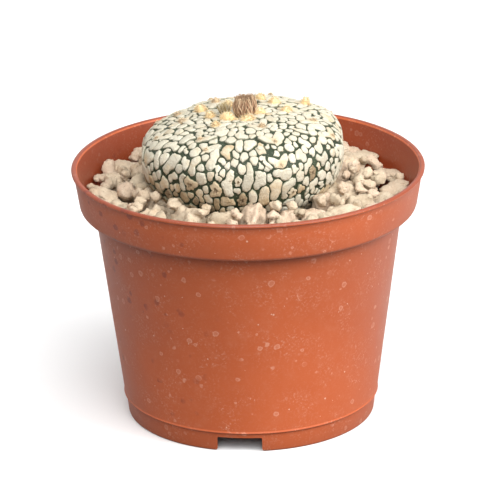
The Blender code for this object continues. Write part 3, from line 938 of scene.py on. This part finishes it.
def fill_gaps(rims, sheets, luck, dice):
    """Small flecks in the hollows that the large ones leave between them."""
    tree = kdtree.KDTree(sum(len(rim) for rim, _ in rims))
    middles = []
    for rim, centre in rims:
        for point in rim:
            tree.insert(point, len(middles))
            middles.append(centre)
    tree.balance()
    angles, alongs = scattered(luck, FILLER_TRIES)
    spots = on_plant(angles, alongs)
    hollows = []
    for i in np.flatnonzero((alongs > FILLER_START) & (alongs < FLECK_END)):
        near, index, gap = tree.find(spots[i])
        if gap > FILLER_ROOM and np.dot(spots[i] - near, np.array(near) - middles[index]) > 0.0:
            hollows.append((gap, i))
    placed, centres = np.full((1, 3), 1.0), np.full((1, 3), 1.0)
    turn = even_turns(FILLER_SIDES)
    for _, i in sorted(hollows, reverse=True):
        apart = norm(placed - spots[i], axis=1)
        near = int(apart.argmin())
        if apart[near] < FILLER_ROOM or np.dot(spots[i] - placed[near], placed[near] - centres[near]) < 0.0:
            continue
        if is_bare(spots[i]):
            continue
        _, across, down = plant_normal(angles[i], alongs[i])
        reach = np.zeros(FILLER_SIDES)
        for k, angle in enumerate(turn):
            way = across * cos(angle) + down * sin(angle)
            while reach[k] < FILLER_REACH:
                point = spots[i] + way * (reach[k] + FILLER_STEP)
                if tree.find(point)[2] < FILLER_GAP or norm(placed - point, axis=1).min() < FILLER_GAP:
                    break
                reach[k] += FILLER_STEP
        rim = add_fleck(sheets, "plain", angles[i], alongs[i], turn, smoothed(reach, 0.2), dice)
        placed = np.concatenate([placed, rim])
        centres = np.concatenate([centres, np.repeat(spots[i][None, :], FILLER_SIDES, 0)])


def make_flecks():
    """Raised pale flecks, each a low cushion with a rounded rim, set into the skin."""
    dice = random.Random(21)
    luck = np.random.RandomState(8)
    rows = fixed_flecks(dice)
    taken = [(on_plant(angle, along), weight) for row in rows for angle, along, weight in row[3]]
    rows += joined(plain_flecks(taken, luck), luck)
    seeds = np.array([(*on_plant(angle, along), weight, number)
                      for number, row in enumerate(rows) for angle, along, weight in row[3]])
    places, weights, owners = seeds[:, :3], seeds[:, 3], seeds[:, 4]
    sheets = {"upper": ([], [], []), "lower": ([], [], [])}
    rims = []
    for number, (kind, angle, along, members) in enumerate(rows):
        own = owners == number
        if kind != "vee":
            angle, along = (float(value[0]) for value in nearest_on_plant(places[own].mean(0)[None, :]))
        centre = on_plant(angle, along)
        if kind == "plain" and (is_bare(centre) or dice.random() < MISSING_SHARE):
            continue
        _, across, down = plant_normal(angle, along)
        near = (norm(places - centre, axis=1) < 9.0 * MM) & ~own
        turn = even_turns({"vee": 36, "broad": 24, "pitted": 28}.get(kind, 14 if len(members) == 1 else 22))
        reach = fleck_reach(centre, across, down, turn, list(zip(places[own], weights[own])),
                            list(zip(places[near], weights[near])), fleck_insets(turn, along, dice))
        if kind == "pitted":
            ragged = sum(depth * np.cos(waves * turn + dice.uniform(0.0, tau))
                         for waves, depth in ((2, 0.06), (3, 0.09), (5, 0.08), (9, 0.05)))
            reach = np.minimum(reach, 3.0 * MM) * (0.9 + ragged)
        if reach.mean() > LEAST_FLECK:
            rims.append((add_fleck(sheets, kind, angle, along, turn, reach, dice), centre))
    fill_gaps(rims, sheets, luck, dice)
    material = fleck_finish()
    for part, sheet in sheets.items():
        finish_piece(mesh_object("pale_flecks_" + part, sheet), material, "cactus_skin")


def fleck_tan(kind, angle, along, dice):
    """How tan a fleck is: 0 cream, 1 tan, up to 2 a dark brown low down and strongest on the left, partly
    real crusty skin and partly painted shade.
    """
    if kind == "vee":
        return dice.uniform(0.55, 0.95)
    # Dark brown low down, far stronger on the left: real crusty skin, and painted shade where the lower left
    # lies in shade
    crust_and_shade = np.interp(along, [33.0 * MM, 45.0 * MM], [0.0, 1.5])
    crust_and_shade *= 0.15 + 0.85 * max(0.0, cos(angle + 1.0)) ** 2
    tan = {"broad": 0.3, "pitted": 0.45}.get(kind, 0.0) + 0.25 * dice.random() ** 2
    if dice.random() < 0.07:
        tan += 0.55
    return min(2.0, tan + crust_and_shade * dice.uniform(0.5, 1.5))


def add_fleck(sheets, kind, angle, along, turn, reach, dice):
    """Add one fleck's rings, from its foot in the skin to its middle; returns the skin round its foot."""
    points, faces, tones = sheets["upper" if along < UPPER_END else "lower"]
    centre = on_plant(angle, along)
    normal, across, down = plant_normal(angle, along)
    thickness = min(0.6 * MM, 0.22 * MM + 0.12 * reach.mean()) * dice.uniform(0.8, 1.3)
    pitted = kind == "pitted"
    rings = PITTED_RINGS if pitted else SMOOTH_RINGS
    tan = fleck_tan(kind, angle, along, dice)
    rough = (0.11 if tan > 1.0 or along < CROWN_END else 0.13 if pitted else 0.05) * MM
    tilt = dice.uniform(-0.1, 0.1), dice.uniform(-0.1, 0.1)
    tone = dice.random()
    start = len(points)
    sides = len(turn)
    for share, rise in rings:
        x, y = np.cos(turn) * reach * share, np.sin(turn) * reach * share
        skin_angle, skin_along = nearest_on_plant(centre + x[:, None] * across + y[:, None] * down)
        skin = on_plant(skin_angle, skin_along)
        lift = thickness * rise
        if share == 1.0:
            rim = skin
        else:
            crumple = np.array([dice.uniform(-1, 1) for _ in range(sides)])
            lift = lift + tilt[0] * x + tilt[1] * y + rough * crumple
            lift = np.maximum(lift, -0.3 * thickness)[..., None]
        points.extend(skin + plant_normal(skin_angle, skin_along)[0] * lift)
        fade = np.clip(1.0 - reach * share / (4.5 * MM), 0.35, 1.0) if kind == "vee" else np.ones(sides)
        pit = 1.3 if pitted and share < 0.2 else 0.0
        tones.extend((tone, share, min(2.0, tan * value + pit)) for value in fade)
    faces.extend(ring_faces(start, len(rings), sides, flipped=True))
    top = len(points)
    points.append(centre + normal * thickness * (-0.1 if pitted else 1.05))
    tones.append((tone, 0.0, 2.0 if pitted else tan))
    last = top - sides
    faces.extend((last + (i + 1) % sides, last + i, top) for i in range(sides))
    faces.append(tuple(range(start, start + sides)))
    return rim


def fleck_finish():
    """Chalky ivory: tan near the areoles, brown and crusty low down with painted shade on the lower left,
    greyer at the rims.
    """
    material, shader, place = new_finish("ivory flecks", 0.8, 0.3)
    tone, edge, tan = tones_at(place)
    cloud = noise_at(place, 3.0 * MM, 4.0)
    grain = noise_at(place, 0.5 * MM, 4.0, 0.7)
    crease = noise_at(place, 1.3 * MM, 3.0, 0.6, 1.2)
    colour = mix(ramp(tone, 0.1, 0.9), (0.575, 0.54, 0.43), (0.655, 0.615, 0.495))
    colour = mix(ramp(cloud, 0.45, 0.7, 0.0, 0.5), colour, (0.60, 0.50, 0.34))
    tanned = maths("ADD", tan, times(maths("SUBTRACT", cloud, 0.5), 0.9))
    colour = mix(ramp(tanned, 0.2, 1.1, 0.0, 0.8), colour, (0.56, 0.39, 0.20))
    # Crusty dark brown; low on the left it is also painted shade
    crust_and_shade = mix(ramp(grain, 0.35, 0.65), (0.11, 0.068, 0.032), (0.38, 0.29, 0.185))
    colour = mix(ramp(tanned, 0.65, 1.35, 0.0, 0.9), colour, crust_and_shade)
    off_line = maths("ABSOLUTE", maths("SUBTRACT", crease, 0.5))
    colour = mix(ramp(off_line, 0.035, 0.0, 0.0, 0.4), colour, (0.36, 0.28, 0.18))
    colour = mix(ramp(grain, 0.55, 0.85, 0.0, 0.3), colour, (0.46, 0.38, 0.27))
    colour = mix(ramp(edge, 0.93, 1.0, 0.0, 0.8), colour, (0.20, 0.21, 0.14))
    feed(shader, colour, bump(grain, 0.18 * MM, 0.8, bump(crease, 0.5 * MM, 0.8)))
    return material


# ---- wool, dried flower and bud

STRAND_SIDES = 3
MOUND_SIDES = 14
MOUND_LEVELS = 5
CROWN_MOUNDS = 24
FLOWER_FOOT = Vector((1.6, -0.1, 11.2)) * MM
FLOWER_TOP = 16.9 * MM
FLOWER_RADIUS = 3.45 * MM
FLOWER_LEAN = 0.5 * MM
# Layers of the flower's fibres, from the inside out: how many, and their share of its radius
FLOWER_LAYERS = ((46, 0.62), (64, 0.86), (70, 1.0))
FIBRE_STEPS = 9
FIBRE_CORNERS = ((-0.5, 0.0), (0.0, 0.42), (0.5, 0.0), (0.0, -0.42))
MOUTH_HAIRS = 260
BUD_FOOT = Vector((-4.0, -0.6, 11.6)) * MM
BUD_RADIUS = 0.9 * MM
BUD_LENGTH = 4.0 * MM


def random_way(dice):
    return Vector([dice.uniform(-1, 1) for _ in range(3)])


def close_ends(faces, start, end, sides):
    """Faces over the first and the last ring of a fibre."""
    faces.append(tuple(reversed(range(start, start + sides))))
    faces.append(tuple(range(end, end + sides)))


def grow_strand(sheet, root, way, length, thickness, curl, dice, tone, segments=5):
    """Add one tapering, curling hair."""
    points, faces, tones = sheet
    way = way.normalized()
    side = way.orthogonal().normalized()
    side.rotate(Matrix.Rotation(dice.uniform(0.0, tau), 3, way))
    other = way.cross(side)
    here = root.copy()
    start = len(points)
    for step in range(segments + 1):
        share = step / segments
        radius = thickness * (1.0 - 0.75 * share) / 2.0
        for k in range(STRAND_SIDES):
            angle = k * tau / STRAND_SIDES
            points.append(here + (side * cos(angle) + other * sin(angle)) * radius)
            tones.append((tone, share, 0.0))
        way = (way + side * curl * dice.uniform(0.3, 1.0) / segments
               + random_way(dice) * 0.35 * abs(curl) / segments).normalized()
        here = here + way * length / segments
    faces.extend(ring_faces(start, segments + 1, STRAND_SIDES))
    close_ends(faces, start, len(points) - STRAND_SIDES, STRAND_SIDES)


def plant_spot(degrees, along):
    """Point, outward direction and downward direction on the skin, in the plant's own frame."""
    normal, _, down = plant_normal(radians(degrees), along)
    return Vector(on_plant(radians(degrees), along)), Vector(normal), Vector(down)


def add_mound(sheet, base, way, radius, height, hairs, dice):
    """A close, lumpy mound of wool: a rounded heart with short hairs all over it."""
    points, faces, tones = sheet
    side = way.orthogonal().normalized()
    other = way.cross(side)
    start = len(points)
    bumps = [dice.uniform(0.75, 1.2) for _ in range(MOUND_SIDES)]
    for level in range(MOUND_LEVELS):
        lift = pi / 2.0 * (level / MOUND_LEVELS) ** 0.8
        for k in range(MOUND_SIDES):
            angle = k * tau / MOUND_SIDES
            out = (side * cos(angle) + other * sin(angle)) * radius * cos(lift) * bumps[k]
            points.append(base + out + way * (height * sin(lift) * dice.uniform(0.9, 1.1) - 0.3 * MM))
            tones.append((dice.uniform(0.0, 0.5), 0.2 + 0.7 * level / MOUND_LEVELS, 0.0))
    faces.extend(ring_faces(start, MOUND_LEVELS, MOUND_SIDES))
    top = len(points)
    points.append(base + way * height)
    tones.append((0.3, 0.8, 0.0))
    last = top - MOUND_SIDES
    faces.extend((last + k, last + (k + 1) % MOUND_SIDES, top) for k in range(MOUND_SIDES))
    faces.append(tuple(reversed(range(start, start + MOUND_SIDES))))
    for _ in range(hairs):
        angle, lift = dice.uniform(0.0, tau), asin(dice.uniform(0.0, 1.0))
        flat = side * cos(angle) + other * sin(angle)
        root = base + flat * radius * cos(lift) * 0.92 + way * (height * sin(lift) * 0.92 - 0.1 * MM)
        grow_strand(sheet, root, flat * (0.2 + cos(lift)) + way * sin(lift),
                    min(radius, 1.1 * MM) * dice.uniform(0.4, 0.9), 0.15 * MM, dice.uniform(-1.8, 1.8), dice,
                    dice.random(), segments=3)


def make_wool():
    """Wool mounds on the youngest areoles and round the flower, and small tufts on the older ones."""
    dice = random.Random(4)
    crown, older = ([], [], []), ([], [], [])
    for degrees, step, width, tall in AREOLES:
        spot, normal, down = plant_spot(degrees, step * MM)
        add_mound(crown if width > YOUNG_WOOL else older, spot, (normal + down * 0.1).normalized(),
                  width * MM * 0.5, (tall * 0.85 + 0.3) * MM, int(40 + 55 * width), dice)
    for _ in range(CROWN_MOUNDS):
        spot, normal, _ = plant_spot(dice.uniform(0.0, 360.0), dice.uniform(1.5, 7.0) * MM)
        radius = dice.uniform(0.5, 1.1) * MM
        add_mound(crown, spot, normal, radius, radius * 0.9, 36, dice)
    golden = wool_finish("golden wool", (0.72, 0.46, 0.19), (0.84, 0.69, 0.40))
    finish_piece(mesh_object("crown_wool_tufts", crown), golden, "areole_wool", "crown_wool")
    tan = wool_finish("tan wool", (0.42, 0.27, 0.13), (0.70, 0.54, 0.34))
    finish_piece(mesh_object("areole_wool_tufts", older), tan, "areole_wool")


def add_fibre(sheet, angle, share, layer, tone, dice):
    """Add one flat, twisted fibre to the flower's barrel."""
    points, faces, tones = sheet
    out = Vector((sin(angle), -cos(angle), 0.0))
    width = dice.uniform(0.26, 0.5) * MM
    height = (FLOWER_TOP - FLOWER_FOOT.z) * dice.uniform(0.86, 1.03)
    start = len(points)
    sway = dice.uniform(-0.35, 0.35)
    wave = dice.uniform(0.0, tau)
    for step in range(FIBRE_STEPS + 1):
        up = step / FIBRE_STEPS
        bulge = 0.62 + 0.38 * sin(pi * (0.12 + 0.76 * up))
        way = Matrix.Rotation(sway * up + 0.10 * sin(wave + up * 7.0), 3, "Z") @ out
        middle = way * FLOWER_RADIUS * share * bulge * (1.0 + 0.05 * sin(wave * 3.0 + up * 9.0))
        middle += FLOWER_FOOT
        middle.x += FLOWER_LEAN * up
        middle.z = FLOWER_FOOT.z + height * up
        side = Vector((-way.y, way.x, 0.0))
        thin = width * (1.0 - 0.55 * up ** 3)
        for across, deep in FIBRE_CORNERS:
            points.append(middle + side * thin * across + way * thin * deep)
            tones.append((tone, up, layer / 2.0))
    sides = len(FIBRE_CORNERS)
    faces.extend(ring_faces(start, FIBRE_STEPS + 1, sides, flipped=True))
    faces.append(tuple(range(start, start + sides)))
    faces.append(tuple(reversed(range(len(points) - sides, len(points)))))


def make_flower():
    """Withered flower: a barrel of dry, twisted fibres with a ragged mouth, and a small tuft beside it."""
    dice = random.Random(17)
    flower = ([], [], [])
    for layer, (count, share) in enumerate(FLOWER_LAYERS):
        for number in range(count):
            angle = (number + dice.uniform(-0.4, 0.4)) * tau / count
            add_fibre(flower, angle, share, layer, number * 0.37 % 1.0, dice)
    for _ in range(MOUTH_HAIRS):
        angle = dice.uniform(0.0, tau)
        out = Vector((sin(angle), -cos(angle), 0.0))
        foot = FLOWER_FOOT + out * FLOWER_RADIUS * 0.8 * sqrt(dice.random())
        foot.x += FLOWER_LEAN
        foot.z = FLOWER_TOP - dice.uniform(0.6, 1.6) * MM
        grow_strand(flower, foot, Vector((out.x * 0.5, out.y * 0.5, 1.0)), dice.uniform(1.0, 1.9) * MM,
                    0.16 * MM, dice.uniform(-1.5, 1.5), dice, dice.random())
    finish_piece(mesh_object("dried_flower_fibres", flower), flower_finish(), "dried_flower", "dried_flower")

    bud = ([], [], [])
    way = Vector((-0.1, 0.0, 1.0)).normalized()
    side = way.orthogonal().normalized()
    other = way.cross(side)
    for _ in range(3):
        place = BUD_FOOT + Vector((dice.uniform(-0.4, 0.4), dice.uniform(-0.4, 0.4), 0.0)) * MM
        for _ in range(70):
            angle = dice.uniform(0.0, tau)
            out = sqrt(dice.random())
            flat = side * cos(angle) + other * sin(angle)
            grow_strand(bud, place + flat * BUD_RADIUS * out, way + flat * out * 0.2,
                        BUD_LENGTH * dice.uniform(0.6, 1.1), 0.24 * MM, 1.1 * dice.uniform(-1.0, 1.0), dice,
                        dice.random())
    olive = wool_finish("olive dried fibres", (0.17, 0.11, 0.035), (0.42, 0.31, 0.13))
    finish_piece(mesh_object("dried_bud_fibres", bud), olive, "dried_bud", "dried_bud")


def wool_finish(name, root_colour, tip_colour):
    """Matt hairs, paler at their tips, with a slight sheen."""
    material, shader, place = new_finish(name, 0.95)
    tone, up, _ = tones_at(place)
    colour = mix(ramp(up, 0.0, 0.8), root_colour, tip_colour)
    colour = mix(ramp(tone, 0.55, 1.0, 0.0, 0.6), colour, (0.86, 0.80, 0.66))
    colour = mix(ramp(noise_at(place, 0.8 * MM), 0.5, 0.75, 0.0, 0.5), colour, root_colour)
    feed(shader, colour, bump(noise_at(place, 0.3 * MM), 0.1 * MM, 0.5))
    shader.inputs["Sheen Weight"].default_value = 0.25
    shader.inputs["Sheen Roughness"].default_value = 0.5
    return material


def flower_finish():
    """Dry fibres: each of its own brown, streaked, paler at the mouth and darker inside."""
    material, shader, place = new_finish("dry brown fibres", 0.85)
    tone, up, layer = tones_at(place)
    colour = mix(ramp(tone, 0.15, 0.9), (0.36, 0.20, 0.11), (0.70, 0.51, 0.33))
    colour = mix(ramp(up, 0.75, 1.0, 0.0, 0.5), colour, (0.62, 0.46, 0.28))
    streaks = noise_at(stretched(place, 0.25), 0.5 * MM)
    colour = mix(ramp(streaks, 0.45, 0.75, 0.0, 0.7), colour, (0.20, 0.10, 0.05))
    colour = mix(ramp(layer, 0.6, 0.0, 0.0, 0.4), colour, (0.20, 0.11, 0.06))
    feed(shader, colour, bump(noise_at(place, 0.25 * MM), 0.1 * MM, 0.6))
    return material


# ---- floor, light and camera

AMBIENT = 0.42
SURROUND = 1.0
KEY_SIZE = 0.27
KEY_POWER = 2.0
KEY_BEARING, KEY_ELEVATION, KEY_DISTANCE = radians(60.0), radians(33.0), 0.47
# Wide lamps: bearing from the front towards +X and elevation in degrees, and strength
LAMPS = (("front fill", 5.0, 46.0, 2.52), ("overhead", 0.0, 86.0, 1.1))
LAMP_WIDTH = radians(50.0)
FLOOR_SIZE = 12.0
CAMERA_ELEVATION = radians(20.55)
CAMERA_ROLL = radians(-0.82)
CAMERA_DISTANCE = 1.521
CAMERA_AIM = Vector((0.254 * MM, 0.0, 49.8 * MM))


def floor_finish():
    """Pale matt floor; it throws little light back up, as a floor behind flags would."""
    material, shader, place = new_finish("pale floor", 0.8, 0.1)
    rays = node("LightPath", {}, place.id_data).outputs
    pale = mix(ramp(noise_at(place, 0.4, 2.0), 0.3, 0.7), (0.90, 0.90, 0.90), (0.92, 0.92, 0.92))
    thrown = mix(rays["Is Glossy Ray"], (0.03, 0.03, 0.03), (0.5, 0.5, 0.5))
    feed(shader, mix(rays["Is Camera Ray"], thrown, pale))
    return material


def make_studio():
    """White surroundings, a floor, a key light at the right, and two wide lamps."""
    deselect_all()
    bpy.ops.mesh.primitive_plane_add(size=FLOOR_SIZE)
    floor = bpy.context.object
    floor.name = "floor"
    floor.data.materials.append(floor_finish())

    world = bpy.data.worlds.new("white studio")
    world.use_nodes = True
    backdrop = world.node_tree.nodes["Background"]
    backdrop.inputs["Color"].default_value = (1.0, 1.0, 1.0, 1.0)
    glossy = node("LightPath", {}, world.node_tree).outputs["Is Glossy Ray"]
    world.node_tree.links.new(ramp(glossy, 0.0, 1.0, AMBIENT, SURROUND), backdrop.inputs["Strength"])
    bpy.context.scene.world = world

    key = bpy.data.lights.new("key", type="AREA")
    key.shape = "DISK"
    key.size = KEY_SIZE
    key.energy = KEY_POWER
    turn = Matrix.Rotation(KEY_BEARING, 4, "Z") @ Matrix.Rotation(pi / 2.0 - KEY_ELEVATION, 4, "X")
    new_object("key", key).matrix_world = (Matrix.Translation((0.0, 0.0, 50.0 * MM)) @ turn
                                           @ Matrix.Translation((0.0, 0.0, KEY_DISTANCE)))
    for name, bearing, elevation, strength in LAMPS:
        light = bpy.data.lights.new(name, type="SUN")
        light.energy = strength
        light.angle = LAMP_WIDTH
        new_object(name, light).rotation_euler = (radians(90.0 - elevation), 0.0, radians(bearing))
    bpy.context.scene.view_settings.view_transform = "Standard"


def make_camera():
    """Camera straight in front, looking down on the pot, with a slight roll."""
    lens = bpy.data.cameras.new("camera")
    lens.lens = 366.7
    lens.sensor_width = 36.0
    lens.clip_end = 50.0
    camera = new_object("camera", lens)
    away = Vector((0.0, -cos(CAMERA_ELEVATION), sin(CAMERA_ELEVATION)))
    camera.location = CAMERA_AIM + away * CAMERA_DISTANCE
    camera.rotation_mode = "QUATERNION"
    camera.rotation_quaternion = (Matrix.Rotation(pi / 2.0 - CAMERA_ELEVATION, 4, "X")
                                  @ Matrix.Rotation(CAMERA_ROLL, 4, "Z")).to_quaternion()
    bpy.context.scene.camera = camera


# ---- the whole piece

make_camera()
make_studio()
make_pot()
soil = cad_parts["soil"]
soil.data.materials.clear()
soil.data.materials.append(soil_finish())
make_gravel()
make_body()
make_flecks()
make_wool()
make_flower()
